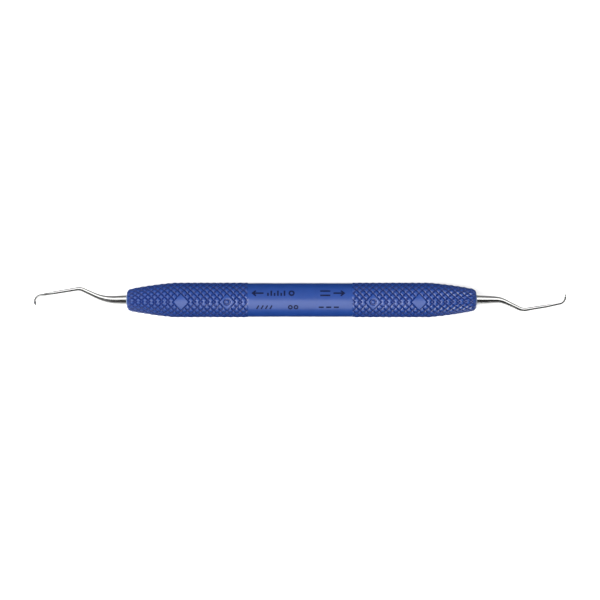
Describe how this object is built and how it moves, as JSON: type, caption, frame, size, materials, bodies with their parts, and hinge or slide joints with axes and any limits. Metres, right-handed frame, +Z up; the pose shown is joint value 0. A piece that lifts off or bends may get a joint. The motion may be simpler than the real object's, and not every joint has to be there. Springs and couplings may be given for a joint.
{
  "type": "hand scaler",
  "caption": "Double-ended dental hand scaler with a diamond-knurled resin grip and a bent steel tip with a hooked blade in each end.",
  "frame": {"origin": "middle of the grip, on its axis", "axes": "+X along the grip towards the right-hand tip; the tips bend in the XY plane, and the left tip's first bend is towards +Y; +Z up with the instrument lying on a table"},
  "size_m": [0.1696, 0.011, 0.011],
  "materials": {
    "grip_resin": "satin moulded resin, royal blue",
    "tip_steel": "polished stainless steel",
    "core_steel": "drawn and turned stainless steel",
    "bond_resin": "cured grey adhesive"
  },
  "bodies": {
    "root": {"grip": "grip_resin", "core_tube": "core_steel", "tang_socket_left": "core_steel", "tang_socket_right": "core_steel", "tang_bond_left": "bond_resin", "tang_bond_right": "bond_resin", "working_end_left": "tip_steel", "working_end_right": "tip_steel"}
  },
  "joints": []
}
